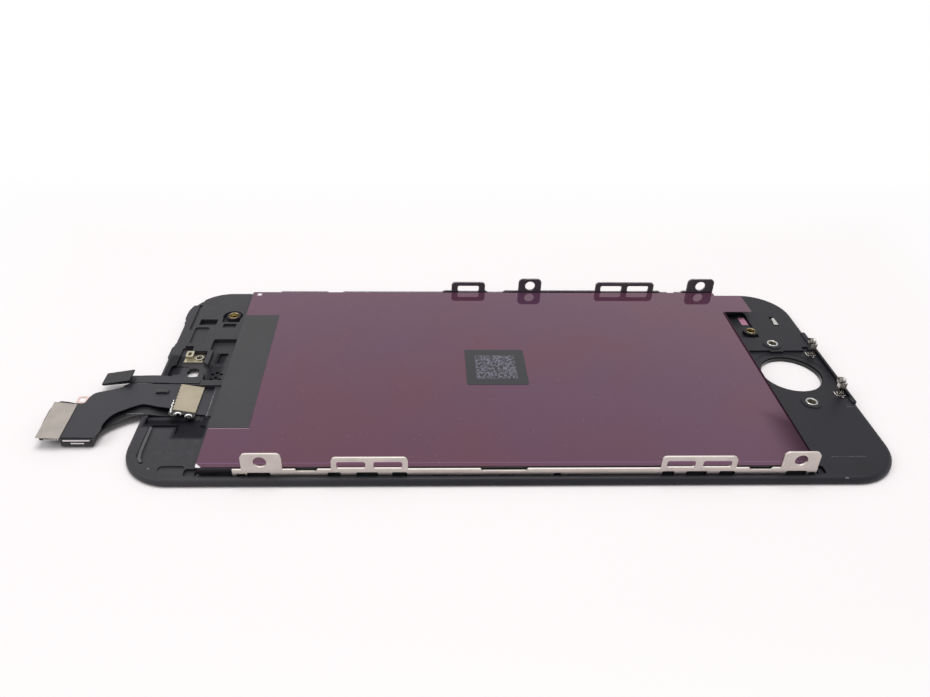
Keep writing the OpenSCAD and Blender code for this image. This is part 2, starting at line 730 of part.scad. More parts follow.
module near_rail() {
    color([0.76, 0.73, 0.7]) translate([0, -rail_y + rail_t / 2, 0]) rotate([90, 0, 0])
        linear_extrude(rail_t) rail_outline(near_tabs, near_loops, [], near_dips, [], rail_cuts);
}

module far_rail() {
    color([0.6, 0.58, 0.56]) translate([0, rail_y + rail_t / 2, 0]) rotate([90, 0, 0])
        linear_extrude(rail_t)
            rail_outline(far_tabs, far_loops, far_singles, far_dips, far_steps, rail_cuts);
}

module steel_inserts() {
    color([0.8, 0.8, 0.8]) for (y = [-insert_y, insert_y])
        tube(home_x - insert_d, y, frame_z0 + 0.1, insert_top, insert_r, thread_r);
}

module button_brass_insert() {
    color([0.8, 0.65, 0.35])
        tube(home_x - home_brass[0], home_brass[1], frame_z0 + 0.1, home_brass_top, brass_r, brass_bore_r);
}

module earpiece_brass_insert() {
    color([0.8, 0.65, 0.35])
        tube(ear_x + ear_brass[0], ear_brass[1], frame_z0 + 0.1, ear_brass_top, ear_brass_r, ear_brass_bore_r);
}

// An upright leg with a threaded barrel across its top, on a T-shaped foot
module screw_post(y) {
    x = home_x - post_d;
    bar_x = x - post_leg[0] / 2;
    difference() {
        union() {
            translate([0, 0, recess_floor]) linear_extrude(post_plate_t) {
                flat_box(bar_x, bar_x + post_bar[0], y + post_bar[1], y + post_bar[2]);
                for (end = [post_bar[1], post_bar[2] - post_bar[0]])
                    flat_box(bar_x, bar_x + 2 * post_bar[0], y + end, y + end + post_bar[0]);
            }
            layer(recess_floor, post_hole_h)
                round_box(bar_x, bar_x + post_leg[0], y - post_leg[1] / 2, y + post_leg[1] / 2, post_leg_r);
            translate([x - post_overhang - post_len / 2, y, post_hole_h]) rotate([0, 90, 0])
                cylinder(r = post_barrel_r, h = post_len);
        }
        translate([x - 2, y, post_hole_h]) rotate([0, 90, 0]) cylinder(r = post_bore_r, h = 4);
    }
}

module screw_posts() {
    color([0.85, 0.84, 0.82]) for (y = [-post_y, post_y]) screw_post(y);
}

module pocket_liner() {
    color([0.8, 0.6, 0.7]) layer(frame_z0 + seat_gap, frame_z0 + seat_gap + liner_t)
        home_region([liner_box[0] + seat_gap, liner_box[1] - seat_gap, liner_box[2] + seat_gap,
            liner_box[3] - seat_gap], 0.08);
}

// A sprung tongue: a foot on the slot's floor, a web and a shiny top turned outwards
module slot_clip() {
    end = 0.5;
    t = 0.2;
    wid = clip_slot[1] - clip_slot[0] - 2 * seat_gap;
    top = lip_h + 0.05;
    color([0.8, 0.8, 0.8]) intersection() {
        translate([home_x - clip_slot[1] + seat_gap, clip_slot[3] - end, groove_floor])
            rotate([90, 0, 0]) linear_extrude(clip_slot[3] - clip_slot[2] - 2 * end) polygon([
                [0, 0], [wid, 0], [wid, t], [t, t], [t, top - groove_floor - t],
                [wid, top - groove_floor - t / 2], [wid, top - groove_floor], [0, top - groove_floor]
            ]);
        translate([home_x, 0, 0]) linear_extrude(3) polygon([
            [-clip_slot[1], clip_slot[2]], [-clip_slot[0], clip_slot[2]],
            [-clip_slot[0], clip_slot[3]], [-clip_slot[1] + clip_taper, clip_slot[3]]
        ]);
    }
}

module contact_plate() {
    b = contact_base;
    color([0.75, 0.74, 0.7]) {
        difference() {
            layer(contact_floor, contact_floor + contact_base_t) ear_region(b, 0.2);
            translate([ear_x + eyelet[0], eyelet[1], 0]) cylinder(r = eyelet[3], h = 3);
        }
        layer(contact_floor, contact_floor + contact_flange[1])
            ear_region([b[0], b[1], b[2], b[2] + contact_flange[0]], 0.1);
    }
}

module contact_clip() {
    z0 = contact_floor + contact_base_t;
    b = contact_lug;
    w = contact_lug_wall;
    color([0.8, 0.76, 0.65]) layer(z0, z0 + contact_lug_h) difference() {
        ear_region(b, 0.2);
        ear_region([b[0] + w, b[1] - w, b[2] + w, b[3] - w], 0.15);
    }
}

module contact_eyelet() {
    z0 = contact_floor + contact_base_t;
    color([0.78, 0.76, 0.72]) tube(ear_x + eyelet[0], eyelet[1], z0, z0 + eyelet_h, eyelet[2], eyelet[3]);
}

// A bead run along the pocket's wall: round dabs joined by straight lengths
module bead_run(a, b) {
    translate(a) circle(bead_r);
    translate(b) circle(bead_r);
    along = b - a;
    across = bead_r * [-along[1], along[0]] / norm(along);
    polygon([a - across, b - across, b + across, a + across]);
}

module glue_bead() {
    color([0.4, 0.4, 0.42]) translate([ear_x, 0, corner_floor]) linear_extrude(bead_h)
        for (i = [0:len(bead_path) - 2]) bead_run(bead_path[i], bead_path[i + 1]);
}

// Curve through points (Catmull-Rom), and a ribbon with its two edges on such curves
function spline(a, b, c, d, t) = 0.5 * (
    2 * b + (c - a) * t + (2 * a - 5 * b + 4 * c - d) * t * t + (3 * b - a - 3 * c + d) * t * t * t
);

function smooth(p, n) = [
    for (i = [0:len(p) - 2], k = [0:n - 1])
        spline(p[max(i - 1, 0)], p[i], p[i + 1], p[min(i + 2, len(p) - 1)], k / n),
    p[len(p) - 1]
];

module ribbon(route, t, n) {
    line = smooth(route, n);
    m = len(line);
    points = [
        for (s = line, h = [0, t]) each [
            [ear_x + s[0], s[1], s[4] + h], [ear_x + s[2], s[3], s[4] + h]
        ]
    ];
    polyhedron(points, concat(
        [[0, 1, 3], [0, 3, 2]],
        [for (i = [0:m - 2], q = [[0, 4, 5, 1], [2, 3, 7, 6], [0, 2, 6, 4], [1, 5, 7, 3]])
            each [[4 * i + q[0], 4 * i + q[1], 4 * i + q[2]], [4 * i + q[0], 4 * i + q[2], 4 * i + q[3]]]],
        [[4 * m - 4, 4 * m - 1, 4 * m - 3], [4 * m - 4, 4 * m - 2, 4 * m - 1]]
    ));
}

module main_ribbon() {
    color([0.24, 0.25, 0.27]) ribbon(main_route, ribbon_t, smooth_steps);
}

module lower_ribbon() {
    color([0.3, 0.3, 0.32]) ribbon(lower_route, lower_ribbon_t, smooth_steps);
}

module strip_ribbon() {
    color([0.27, 0.28, 0.3]) ribbon(strip_route, strip_t, smooth_steps);
}

module strip_flap() {
    color([0.2, 0.21, 0.23]) translate([ear_x + flap_root[0], flap_root[1], ear_deck_h - 0.1 + strip_t])
        rotate([0, -flap_tilt, 0]) cube(flap_size);
}

module on_socket() {
    translate([ear_x + dive_d[0], 0, ear_deck_h + ribbon_t + socket_lift]) rotate([0, socket_tilt, 0])
        children();
}

module socket_body() {
    lobe_r = 0.75;
    color([0.1, 0.1, 0.11]) on_socket() layer(0, socket_size[2]) {
        round_box(socket_x, socket_x + socket_size[0], socket_y, socket_y + socket_size[1], 0.2);
        for (x = [lobe_r, socket_size[0] - lobe_r]) translate([socket_x + x, socket_y]) circle(lobe_r);
    }
}

// The pad's earpiece edge is notched by the row of solder joints beside it
module socket_pad_cover() {
    notch_r = 0.16;
    notches = 8;
    b = socket_pad;
    color([0.72, 0.69, 0.58]) on_socket() layer(socket_size[2], socket_size[2] + socket_pad_t) difference() {
        polygon([[b[0] + socket_pad_slant, b[2]], [b[1], b[2]], [b[1], b[3]], [b[0], b[3]]]);
        for (i = [0:notches - 1]) translate([
            b[0] + socket_pad_slant * (1 - (i + 0.5) / notches), b[2] + (i + 0.5) * (b[3] - b[2]) / notches
        ]) circle(notch_r);
    }
}

module socket_solder() {
    color([0.95, 0.95, 0.95]) on_socket() layer(socket_size[2], socket_size[2] + 0.14) {
        for (x = blob_x) translate([socket_x + x, socket_y + 0.1]) circle(blob_r);
        round_box(socket_x + 0.02, socket_x + 0.2, socket_y + 0.2, socket_y + 0.8, 0.08);
    }
}

module connector(b, z0, z1) {
    layer(z0, z1) round_box(ear_x + b[0], ear_x + b[1], b[2], b[3], 0.15);
}

module ribbon_plate() {
    top = block_h + ribbon_t;
    color([0.76, 0.74, 0.71]) layer(top, top + plate_t) translate([ear_x, 0]) polygon(plate_corners);
}

module plate_connector_body() {
    color([0.16, 0.16, 0.17]) connector(plate_connector, block_h - plate_connector_h, block_h - connector_gap);
}

module display_connector_body() {
    color([0.13, 0.13, 0.14]) connector(display_connector, lower_top + connector_gap, block_h - connector_gap);
}

module touch_connector_body() {
    color([0.13, 0.13, 0.14]) connector(touch_connector, connector_lift, lower_z - connector_gap);
}

// Metal shells along the connectors' near sides
module shield_bars() {
    mid = (lower_top + block_h) / 2;
    low = lower_z - 0.15;
    color([0.8, 0.79, 0.76]) {
        layer(mid - bar_t, mid + bar_t)
            flat_box(ear_x + bar_long[0], ear_x + bar_long[1], display_connector[2] - bar_t, display_connector[2]);
        layer(low - bar_t, low + bar_t)
            flat_box(ear_x + bar_short[0], ear_x + bar_short[1], touch_connector[2] - bar_t, touch_connector[2]);
    }
}

module copper_ground_tab() {
    color([0.85, 0.65, 0.55]) layer(block_h - copper_t, block_h) difference() {
        ear_region(copper_tab, 0.3);
        ear_region([copper_tab[0] + 0.35, copper_tab[1] - 0.6, copper_tab[2] + 0.35, copper_tab[3] - 0.35], 0.2);
    }
}

cover_glass();
optical_adhesive();
front_polarizer();
filter_glass();
tft_glass();
driver_chip();
rear_polarizer();
prism_sheet();
diffuser_sheet();
light_guide();
led_strip();
reflector_sheet();
backlight_tray();
protective_film();
driver_tape();
center_label();
frame_adhesive();
moulded_frame();
near_rail();
far_rail();
steel_inserts();
button_brass_insert();
earpiece_brass_insert();
screw_posts();
pocket_liner();
slot_clip();
contact_plate();
contact_clip();
contact_eyelet();
glue_bead();
main_ribbon();
lower_ribbon();
strip_ribbon();
strip_flap();
socket_body();
socket_pad_cover();
socket_solder();
ribbon_plate();
plate_connector_body();
display_connector_body();
touch_connector_body();
shield_bars();
copper_ground_tab();
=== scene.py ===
import math

import bpy
from mathutils import Matrix, Vector


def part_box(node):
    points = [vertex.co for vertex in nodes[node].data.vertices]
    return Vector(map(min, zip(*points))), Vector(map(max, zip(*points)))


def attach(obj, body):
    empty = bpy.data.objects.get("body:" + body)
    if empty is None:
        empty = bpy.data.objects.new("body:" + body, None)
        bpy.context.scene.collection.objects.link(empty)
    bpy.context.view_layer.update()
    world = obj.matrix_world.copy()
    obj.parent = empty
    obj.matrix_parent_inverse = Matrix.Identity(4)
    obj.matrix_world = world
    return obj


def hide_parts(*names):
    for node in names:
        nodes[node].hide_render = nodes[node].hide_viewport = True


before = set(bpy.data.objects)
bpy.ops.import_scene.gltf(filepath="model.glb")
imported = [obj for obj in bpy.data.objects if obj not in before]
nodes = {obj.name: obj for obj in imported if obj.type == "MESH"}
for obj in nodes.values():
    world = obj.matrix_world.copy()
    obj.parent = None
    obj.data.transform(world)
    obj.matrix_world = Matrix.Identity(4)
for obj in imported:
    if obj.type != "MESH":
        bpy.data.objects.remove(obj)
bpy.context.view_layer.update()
mm = 0.001
print("frame loaded,", len(nodes), "nodes")


def pale(red, green, blue):
    # an everyday 0-255 colour as the linear one that shaders use
    def linear(v):
        v = v / 255
        return v / 12.92 if v <= 0.04045 else ((v + 0.055) / 1.055) ** 2.4
    return (linear(red), linear(green), linear(blue), 1.0)


# Shader maths: a value wraps a socket, so that a pattern reads as a formula
class Value:
    def __init__(self, shader, socket):
        self.shader = shader
        self.socket = socket

    def combine(self, operation, first, second=None):
        inputs = {0: first} if second is None else {0: first, 1: second}
        return self.shader.node("ShaderNodeMath", {"operation": operation}, inputs)

    def __add__(self, other):
        return self.combine("ADD", self, other)

    def __radd__(self, other):
        return self.combine("ADD", other, self)

    def __sub__(self, other):
        return self.combine("SUBTRACT", self, other)

    def __rsub__(self, other):
        return self.combine("SUBTRACT", other, self)

    def __mul__(self, other):
        return self.combine("MULTIPLY", self, other)

    def __rmul__(self, other):
        return self.combine("MULTIPLY", other, self)

    def __truediv__(self, other):
        return self.combine("DIVIDE", self, other)

    def __lt__(self, other):
        return self.combine("LESS_THAN", self, other)

    def __gt__(self, other):
        return self.combine("GREATER_THAN", self, other)

    def absolute(self):
        return self.combine("ABSOLUTE", self)

    def modulo(self, size):
        return self.combine("FLOORED_MODULO", self, size)

    def floor(self):
        return self.combine("FLOOR", self)

    def least(self, other):
        return self.combine("MINIMUM", self, other)

    def most(self, other):
        return self.combine("MAXIMUM", self, other)

    def softStep(self, low, high):
        return self.shader.node("ShaderNodeMapRange", {"interpolation_type": "SMOOTHSTEP"},
                                {"Value": self, "From Min": low, "From Max": high})


class Tree:
    # a node tree whose nodes all come from one method
    def __init__(self, tree):
        self.tree = tree

    def node(self, kind, settings, inputs, output=0):
        made = self.tree.nodes.new(kind)
        for key, value in settings.items():
            setattr(made, key, value)
        for key, value in inputs.items():
            if isinstance(value, Value):
                self.link(value, made.inputs[key])
            else:
                made.inputs[key].default_value = value
        return Value(self, made.outputs[output])

    def link(self, value, socket):
        self.tree.links.new(value.socket, socket)

    def split(self, vector):
        # the three numbers of a vector
        parts = self.node("ShaderNodeSeparateXYZ", {}, {0: vector}).socket.node
        return [Value(self, number) for number in parts.outputs]

    def ray(self, kind):
        return self.node("ShaderNodeLightPath", {}, {}, kind)

    def dot(self, first, second):
        return self.node("ShaderNodeVectorMath", {"operation": "DOT_PRODUCT"}, {0: first, 1: second}, "Value")


class Finish(Tree):
    # one material; constants go straight on the Principled sockets
    def __init__(self, name, **constants):
        self.material = bpy.data.materials.new(name)
        self.material.use_nodes = True
        super().__init__(self.material.node_tree)
        self.shader = self.tree.nodes["Principled BSDF"]
        for socket, value in constants.items():
            self.shader.inputs[socket.replace("_", " ")].default_value = value
        self.place = self.node("ShaderNodeTexCoord", {}, {}, "Object")

    def feed(self, socket, value):
        self.link(value, self.shader.inputs[socket])

    def axes(self):
        return self.split(self.place)

    def stretched(self, x, y, z):
        return self.node("ShaderNodeMapping", {}, {"Vector": self.place, "Scale": (x, y, z)})

    def noise(self, size, detail=3.0, rough=0.5, where=None):
        # size is the width of a patch, in millimetres
        return self.node("ShaderNodeTexNoise", {"noise_dimensions": "3D"}, {
            "Vector": where or self.place, "Scale": 1 / (size * mm), "Detail": detail, "Roughness": rough})

    def mix(self, mask, first, second):
        return self.node("ShaderNodeMix", {"data_type": "RGBA"}, {0: mask, 6: first, 7: second}, 2)

    def bump(self, height, depth, normal=None):
        # depth in millimetres for a height of 1
        inputs = {"Height": height, "Strength": 1.0, "Distance": depth * mm}
        if normal:
            inputs["Normal"] = normal
        return self.node("ShaderNodeBump", {}, inputs)

    def roundedEdges(self, radius):
        return self.node("ShaderNodeBevel", {"samples": 4}, {"Radius": radius * mm})

    def trueNormal(self):
        return self.node("ShaderNodeNewGeometry", {}, {}, "True Normal")

    def edges(self, radius):
        # 1 along a sharp edge, where the rounded normal leans off the true one
        lean = 1 - self.dot(self.roundedEdges(radius), self.trueNormal())
        return lean.softStep(0.01, 0.12)

    def facing(self, axis):
        # how squarely the surface faces along an axis
        return self.split(self.trueNormal())[axis]

    def between(self, axis, reach):
        # 0 to 1 along an axis, from the first place to the second, in millimetres
        return self.axes()[axis].softStep(reach[0] * mm, reach[1] * mm)

    def patch(self, low, high, soft=0.1):
        # 1 inside a rectangle of the plan, in millimetres, with a soft edge
        x, y, z = self.axes()
        inside = (x - low[0] * mm).least(high[0] * mm - x)
        inside = inside.least((y - low[1] * mm).least(high[1] * mm - y))
        return inside.softStep(0, soft * mm)


def dress(names, finish):
    for name in names:
        slots = nodes[name].data.materials
        slots.clear()
        slots.append(finish.material)


camera = {
    "place": (-15.40, -118.22, 85.42),
    "azimuth": -1.68,
    "elevation": 32.64,
    "roll": 0.94,
    "lens": 31.21,
    "shift": (0.0324, -0.01675),
}


def placeCamera(s):
    az = math.radians(s["azimuth"])
    el = math.radians(s["elevation"])
    turn = math.radians(s["roll"])
    back = Vector((math.sin(az) * math.cos(el), -math.cos(az) * math.cos(el), math.sin(el)))
    right = (-back).cross(Vector((0, 0, 1))).normalized()
    up = right.cross(-back)
    rolledRight = right * math.cos(turn) + up * math.sin(turn)
    rolledUp = up * math.cos(turn) - right * math.sin(turn)
    data = bpy.data.cameras.new("camera")
    data.sensor_width = 36
    data.lens = s["lens"]
    data.shift_x, data.shift_y = s["shift"]
    data.clip_start = 0.005
    data.clip_end = 20
    seen = bpy.data.objects.new("camera", data)
    bpy.context.scene.collection.objects.link(seen)
    axes = Matrix((rolledRight, rolledUp, back)).transposed().to_4x4()
    seen.matrix_world = Matrix.Translation(Vector(s["place"]) * mm) @ axes
    bpy.context.scene.camera = seen


placeCamera(camera)
print("camera placed")

studio = {
    "skyStrength": 0.52,
    "skyColor": (1.0, 0.985, 0.99, 1.0),
    # the room is dimmer on one side, which the button end and the film's right corner mirror
    "dimWay": (0.62, 0.6, 0.5),
    "dimEdge": (15.5, 6),
    "dimShare": 0.85,
    "softboxes": [
        # one broad box overhead and one weak fill on the left; the film mirrors neither
        {"place": (60, 40, 620), "aim": (0, 0, 0), "size": 380, "watts": 2.6, "color": (1.0, 0.99, 0.985)},
        {"place": (-420, -160, 380), "aim": (0, 0, 0), "size": 300, "watts": 0.7, "color": (0.99, 0.99, 1.0)},
    ],
    "floorColor": (0.81, 0.785, 0.79, 1.0),
    "floorSize": 3.0,
    "floorDrop": 0.00002,
    "nearEdge": (0.065, 0.03),
    "fade": (0.006, 0.075),
}


def lightStudio(s):
    world = bpy.data.worlds.new("sky")
    bpy.context.scene.world = world
    world.use_nodes = True
    background = world.node_tree.nodes["Background"]
    background.inputs["Color"].default_value = s["skyColor"]
    sky = Tree(world.node_tree)
    mirrored = sky.ray("Is Glossy Ray")
    seen = sky.ray("Is Camera Ray").most(mirrored)
    strength = s["skyStrength"] + seen * (1 - s["skyStrength"])
    toward = sky.dot(sky.node("ShaderNodeTexCoord", {}, {}, "Generated"), Vector(s["dimWay"]).normalized())
    edge = [math.cos(math.radians(angle)) for angle in s["dimEdge"]]
    dim = toward.softStep(*edge) * s["dimShare"]
    sky.link((1 - dim * mirrored) * strength, background.inputs["Strength"])
    for i, box in enumerate(s["softboxes"]):
        data = bpy.data.lights.new(f"softbox{i + 1}", "AREA")
        data.size = box["size"] * mm
        data.energy = box["watts"]
        data.color = box["color"]
        lamp = bpy.data.objects.new(f"softbox{i + 1}", data)
        bpy.context.scene.collection.objects.link(lamp)
        lamp.location = Vector(box["place"]) * mm
        way = (Vector(box["aim"]) - Vector(box["place"])).normalized()
        lamp.rotation_euler = way.to_track_quat("-Z", "Y").to_euler()
    bpy.context.scene.view_settings.view_transform = "Standard"


def layFloor(s):
    bpy.ops.object.select_all(action="DESELECT")
    bpy.ops.mesh.primitive_plane_add(size=s["floorSize"], location=(0, 0, -s["floorDrop"]))
    floor = bpy.context.active_object
    floor.name = "floor"
    bpy.ops.object.transform_apply(location=True)
    paper = Finish("paperFloor", Base_Color=s["floorColor"], Roughness=0.9, Specular_IOR_Level=0.0)
    # far from the part the floor fades to plain white, so that no horizon shows
    x, y, z = paper.axes()
    nearX, nearY = s["nearEdge"]
    away = (x.absolute() - nearX).most(y.absolute() - nearY)
    seen = paper.ray("Is Camera Ray").most(paper.ray("Is Glossy Ray"))
    blend = paper.node("ShaderNodeMixShader", {}, {
        0: away.softStep(*s["fade"]) * seen,
        1: Value(paper, paper.shader.outputs[0]),
        2: paper.node("ShaderNodeEmission", {}, {"Color": (1, 1, 1, 1)})})
    paper.link(blend, paper.tree.nodes["Material Output"].inputs["Surface"])
    floor.data.materials.append(paper.material)


lightStudio(studio)
layFloor(studio)
print("studio lit")


def makeFrameBlack():
    # darker towards the button end, with the few marks that the photo shows
    s = {
        "earTone": pale(43, 42, 46), "homeTone": pale(15, 16, 23), "toneReach": (-56, 0), "lift": 1.5,
        "grain": 0.16, "cloud": 6.0, "scuffs": 2.2,
        "markTone": pale(150, 150, 156),
        "marks": [
            {"low": (50.2, -23.15), "high": (55.8, -22.97), "share": 0.30},
            {"low": (50.35, -27.9), "high": (50.95, -27.62), "share": 0.4},
            {"low": (58.5, -10.4), "high": (59.9, -10.22), "share": 0.5},
            {"low": (58.6, -9.75), "high": (59.5, -9.6), "share": 0.3},
            # the next mark is a painted highlight: a light line along the frame's edge beside the ribbon
            {"low": (-49.9, -14.0), "high": (-49.7, -5.9), "share": 0.6},
        ],
        "gate": {"low": (-56.2, -25.6), "high": (-55.7, -25.08), "tone": pale(120, 120, 125), "share": 0.6},
        "dust": {"low": (-57.4, -24.8), "high": (-49.2, -16.2), "soft": 1.2, "size": 1.1},
        # the blackest places, in the shade of the ribbon and in the deep hollows of the earpiece end
        "shadeTone": pale(22, 23, 29),
        "shade": [
            {"low": (-60.2, -15.8), "high": (-48.9, -12.6), "soft": 0.8, "share": 0.95},
            {"low": (-55.0, -18.6), "high": (-48.7, -14.2), "soft": 1.0, "share": 0.95},
            {"low": (-52.4, 2.2), "high": (-49.8, 6.7), "soft": 0.8, "share": 0.95},
            {"low": (-53.0, -2.8), "high": (-49.6, 2.9), "soft": 0.9, "share": 0.8},
            {"low": (-60.6, -1.9), "high": (-57.0, 5.8), "soft": 0.9, "share": 0.85},
        ],
    }
    f = Finish("frameBlack", Roughness=0.48, Specular_IOR_Level=0.28)
    grain = f.noise(s["grain"], 4, 0.6)
    cloud = f.noise(s["cloud"], 3, 0.55)
    streaks = f.noise(s["scuffs"], 5, 0.65, f.stretched(0.12, 1, 1))
    worn = streaks.softStep(0.62, 0.78)
    # painted light and shade: the tone runs from lighter at the earpiece end, standing in for its brighter
    # grazing reflections, to darker at the button end
    tone = f.mix(f.between(0, s["toneReach"]), s["earTone"], s["homeTone"])
    lighter = f.node("ShaderNodeVectorMath", {"operation": "SCALE"}, {0: tone, "Scale": s["lift"]})
    dust = s["dust"]
    pocket = f.patch(dust["low"], dust["high"], dust["soft"])
    dusty = f.noise(dust["size"], 4, 0.7).softStep(0.5, 0.68) * pocket
    colour = f.mix(cloud.softStep(0.35, 0.7) * 0.5 + worn * 0.25 + dusty, tone, lighter)
    # breaks up the marks, the scratches and the painted highlight alike
    scratchAndHighlight = f.noise(0.4, 2, 0.6).softStep(0.3, 0.55)
    for mark in s["marks"]:
        mask = f.patch(mark["low"], mark["high"], 0.08) * scratchAndHighlight * mark["share"]
        colour = f.mix(mask, colour, s["markTone"])
    gate = f.patch(s["gate"]["low"], s["gate"]["high"], 0.2)
    colour = f.mix(gate * s["gate"]["share"], colour, s["gate"]["tone"])
    shade = 0
    for spot in s["shade"]:
        shade = (f.patch(spot["low"], spot["high"], spot["soft"]) * spot["share"]).most(shade)
    shade = shade * (0.85 + cloud * 0.15)
    f.feed("Base Color", f.mix(shade, colour, s["shadeTone"]))
    f.feed("Metallic", shade)
    f.feed("Roughness", 0.42 + cloud * 0.12 - worn * 0.1)
    relief = grain * 0.7 + streaks * 0.3 + gate * 6.0
    f.feed("Normal", f.bump(relief, 0.006, f.roundedEdges(0.09)))
    return f


def makeFilm():
    s = {
        "tone": pale(72, 37, 54), "cool": pale(68, 39, 62), "cloud": 22.0, "wave": 9.0,
        "dust": {"size": 0.35, "tone": pale(200, 180, 190), "share": 0.3},
        # a violet line beside the near edge, which ends short of the pull tab
        "line": {"inset": 0.75, "width": 0.14, "short": 7, "tone": pale(140, 96, 150), "share": 0.55},
        # the shade beside the button end's wall: a soft strip and the black line at the very edge
        "beside": {"right": 46.5, "wide": 5.5, "line": 0.5, "from": -40, "to": 18.7, "softTo": -12,
                   "past": 90, "tone": pale(14, 12, 15), "share": 0.6, "lineShare": 0.96},
        "seam": {"low": (-48.4, -17.5), "high": (-41.9, -17.3), "tone": pale(170, 140, 158), "share": 0.7},
        # a nick at the far corner, where bright metal shows, drawn as a white spot: a painted glint
        "nickGlint": {"low": (-47.7, 24.85), "high": (-46.5, 26.05), "soft": 0.5, "tone": pale(244, 240, 242)},
    }
    f = Finish("mauveFilm", Roughness=0.05, IOR=1.5, Specular_IOR_Level=0.87,
               Specular_Tint=(1.0, 0.62, 0.75, 1.0))
    cloud = f.noise(s["cloud"], 2, 0.5)
    wave = f.noise(s["wave"], 2, 0.4)
    dust = f.noise(s["dust"]["size"], 2, 0.5).softStep(0.74, 0.8)
    side = 1 - f.facing(2).softStep(0.3, 0.8)
    colour = f.mix(cloud.softStep(0.35, 0.65), s["tone"], s["cool"])
    beside = s["beside"]
    right, start, past = beside["right"], beside["from"], beside["past"]
    strip = f.patch((right - beside["wide"], start), (past, beside["softTo"]), beside["wide"])
    edgeLine = f.patch((right - beside["line"], start), (past, beside["to"]), 0.25)
    dark = (strip * beside["share"]).most(edgeLine * beside["lineShare"])
    colour = f.mix(dark, colour, beside["tone"])
    colour = f.mix(dust * s["dust"]["share"], colour, s["dust"]["tone"])
    low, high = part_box("protective_film")
    edge = low.y / mm + s["line"]["inset"]
    line = f.patch((low.x / mm, edge), (high.x / mm - s["line"]["short"], edge + s["line"]["width"]), 0.05)
    colour = f.mix(line * s["line"]["share"], colour, s["line"]["tone"])
    seam = f.patch(s["seam"]["low"], s["seam"]["high"], 0.06)
    colour = f.mix(seam * s["seam"]["share"], colour, s["seam"]["tone"])
    # painted glint: the white spot of the nick
    nickGlint = f.patch(s["nickGlint"]["low"], s["nickGlint"]["high"], s["nickGlint"]["soft"])
    f.feed("Base Color", f.mix(nickGlint, colour, s["nickGlint"]["tone"]))
    f.feed("Metallic", dark)
    f.feed("Roughness", 0.035 + cloud * 0.03 + dust * 0.3 + side * 0.7)
    f.feed("Normal", f.bump(wave, 0.02))
    return f


def makeTape():
    s = {"tone": pale(26, 26, 29), "light": pale(34, 34, 37), "weave": 0.3, "cloud": 7.0}
    f = Finish("blackTape", Roughness=0.42, Specular_IOR_Level=0.5)
    grain = f.noise(s["weave"], 3, 0.6)
    cloud = f.noise(s["cloud"], 3, 0.5)
    f.feed("Base Color", f.mix(cloud.softStep(0.3, 0.7), s["tone"], s["light"]))
    f.feed("Roughness", 0.38 + cloud * 0.1)
    f.feed("Normal", f.bump(grain, 0.004))
    return f


def scaled(tone, share):
    # a lighter or darker version of a colour
    return tuple(min(1.0, c * share) for c in tone[:3]) + (1.0,)


def makeMetal(name, tone, roughness, grain=0.12, stretch=(1, 1, 1), edge=0.05, depth=0.004,
              rim=None, shelf=None):
    # rim is a painted highlight that lightens the cut edges of a sheet, and shelf a painted highlight that
    # lightens what faces up
    f = Finish(name, Metallic=1.0, Roughness=roughness)
    lines = f.noise(grain, 4, 0.6, f.stretched(*stretch))
    cloud = f.noise(3.0, 3, 0.5)
    colour = f.mix(cloud.softStep(0.3, 0.75) * 0.5 + lines * 0.15, tone, scaled(tone, 0.72))
    # painted highlights on the edges and on the up-facing faces
    if rim:
        colour = f.mix(f.edges(edge * 1.6), colour, rim)
    if shelf:
        colour = f.mix(f.facing(2).softStep(0.6, 0.9), colour, shelf)
    f.feed("Base Color", colour)
    f.feed("Roughness", roughness * 0.8 + lines * roughness * 0.4)
    f.feed("Normal", f.bump(lines, depth, f.roundedEdges(edge)))
    return f


def makeTray():
    # dark on its back and sides, with bare metal at two corners by the earpiece end
    s = {
        "tone": pale(26, 24, 28), "light": pale(44, 42, 46), "bare": pale(246, 244, 243), "grain": 0.3,
        "corners": [((-48.6, -26.6), (-47.5, -25.5)), ((-48.6, 25.2), (-46.8, 26.6))], "soft": 0.25,
    }
    f = Finish("trayDark", Roughness=0.3, Specular_IOR_Level=0.5)
    fine = f.noise(s["grain"], 3, 0.6)
    bare = 0
    for low, high in s["corners"]:
        bare = f.patch(low, high, s["soft"]).most(bare)
    bare = bare * fine.softStep(0.3, 0.5) * f.facing(2).softStep(0.5, 0.9)
    f.feed("Base Color", f.mix(bare, f.mix(fine * 0.3, s["tone"], s["light"]), s["bare"]))
    f.feed("Metallic", bare)
    f.feed("Roughness", 0.26 + fine * 0.1)
    f.feed("Normal", f.bump(fine, 0.002, f.roundedEdges(0.06)))
    return f


def makePostMetal():
    # bright plating with dark streaks down the posts, painted shade for the light and dark bands of their
    # ribs; front faces painted darker and tops kept bright, painted shade and a painted highlight; and a dark
    # mouth on the barrel's inner end, painted shade in the bore
    s = {"bright": pale(224, 222, 217), "dark": pale(84, 80, 74),
         "mouthShadeX": (59.0, 58.6), "mouthShadeZ": (3.2, 3.3)}
    f = Finish("postChrome", Metallic=1.0, Roughness=0.16)
    ribShadeStreaks = f.noise(0.16, 3, 0.6, f.stretched(1, 1, 0.08))
    fine = f.noise(0.1, 3, 0.5)
    up = f.facing(2).softStep(0.2, 0.8)
    front = (0 - f.facing(1)).softStep(0.3, 0.8)
    # painted shade: the streaks and the darker front faces, kept off the tops as a painted highlight
    streakAndShade = (ribShadeStreaks.softStep(0.42, 0.6) * 0.8).most(front * 0.85) * (1 - up * 0.9)
    # painted shade in the barrel's mouth
    mouth = f.between(0, s["mouthShadeX"]) * f.between(2, s["mouthShadeZ"])
    f.feed("Base Color", f.mix(streakAndShade.most(mouth * 0.75), s["bright"], s["dark"]))
    f.feed("Roughness", 0.12 + fine * 0.1)
    f.feed("Normal", f.bump(ribShadeStreaks, 0.01, f.roundedEdges(0.04)))
    return f


